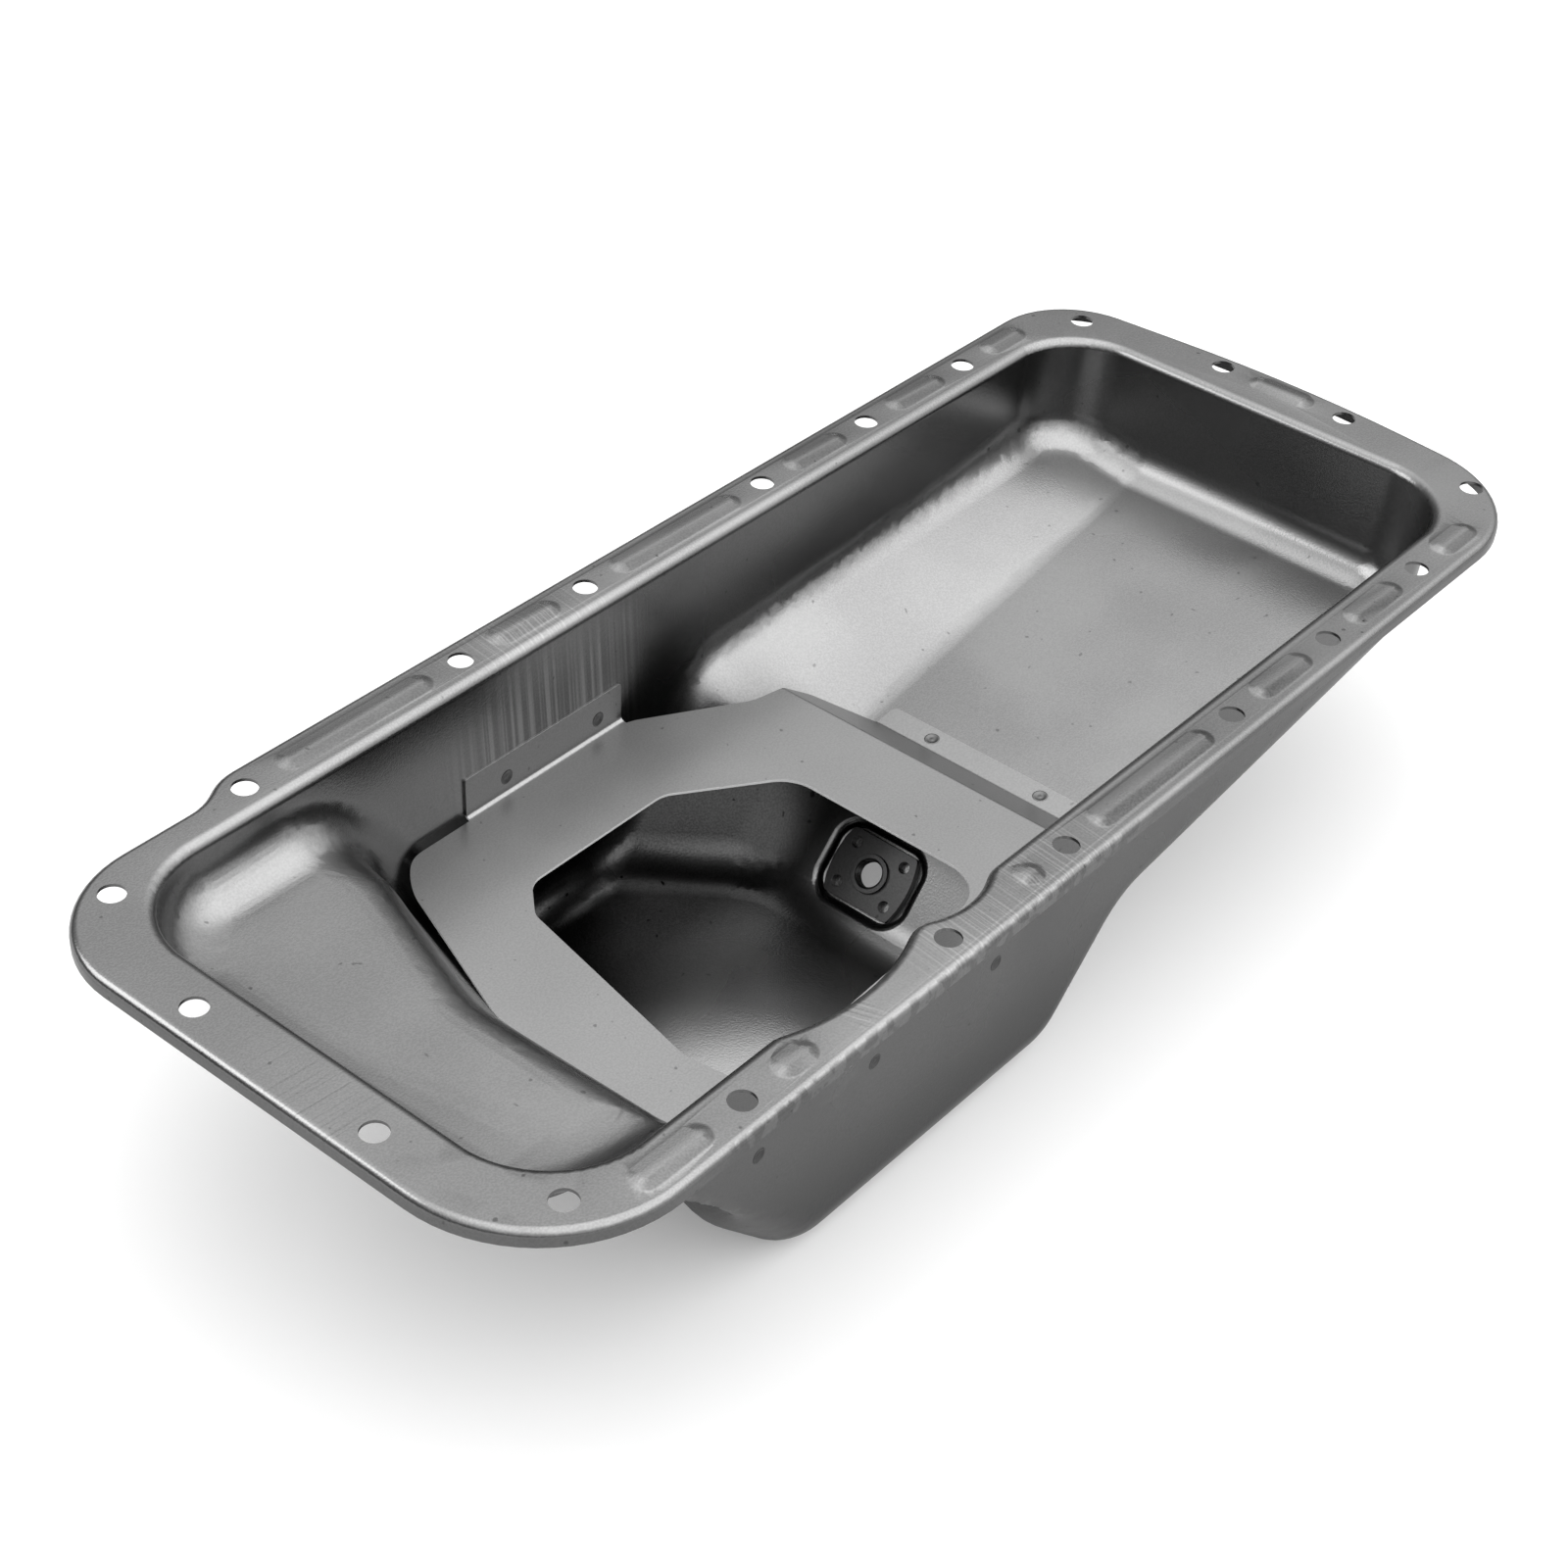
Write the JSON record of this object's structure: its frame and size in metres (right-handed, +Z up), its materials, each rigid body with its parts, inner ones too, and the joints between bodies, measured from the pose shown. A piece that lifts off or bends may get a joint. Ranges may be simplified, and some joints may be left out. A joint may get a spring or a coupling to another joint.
{
  "type": "engine oil pan",
  "caption": "Pressed steel engine oil pan with bolted flange, deep sloping sump near one end, shallow trough, welded windage tray and drain nut plate.",
  "frame": {"origin": "on the underside of the sump, under the middle of the flange's length and width", "axes": "+X along the pan from the sump end to the shallow end, +Y to the left rail, +Z up through the open gasket face"},
  "size_m": [0.5819, 0.241, 0.1252],
  "materials": {
    "pan_steel": "bare drawn steel, satin, with draw marks and scuffs",
    "tray_steel": "bare rolled steel sheet, satin, with fine specks",
    "plate_steel": "dark bare steel pressing"
  },
  "bodies": {
    "root": {"oil_pan_shell": "pan_steel", "windage_tray": "tray_steel", "drain_nut_plate": "plate_steel"}
  },
  "joints": []
}
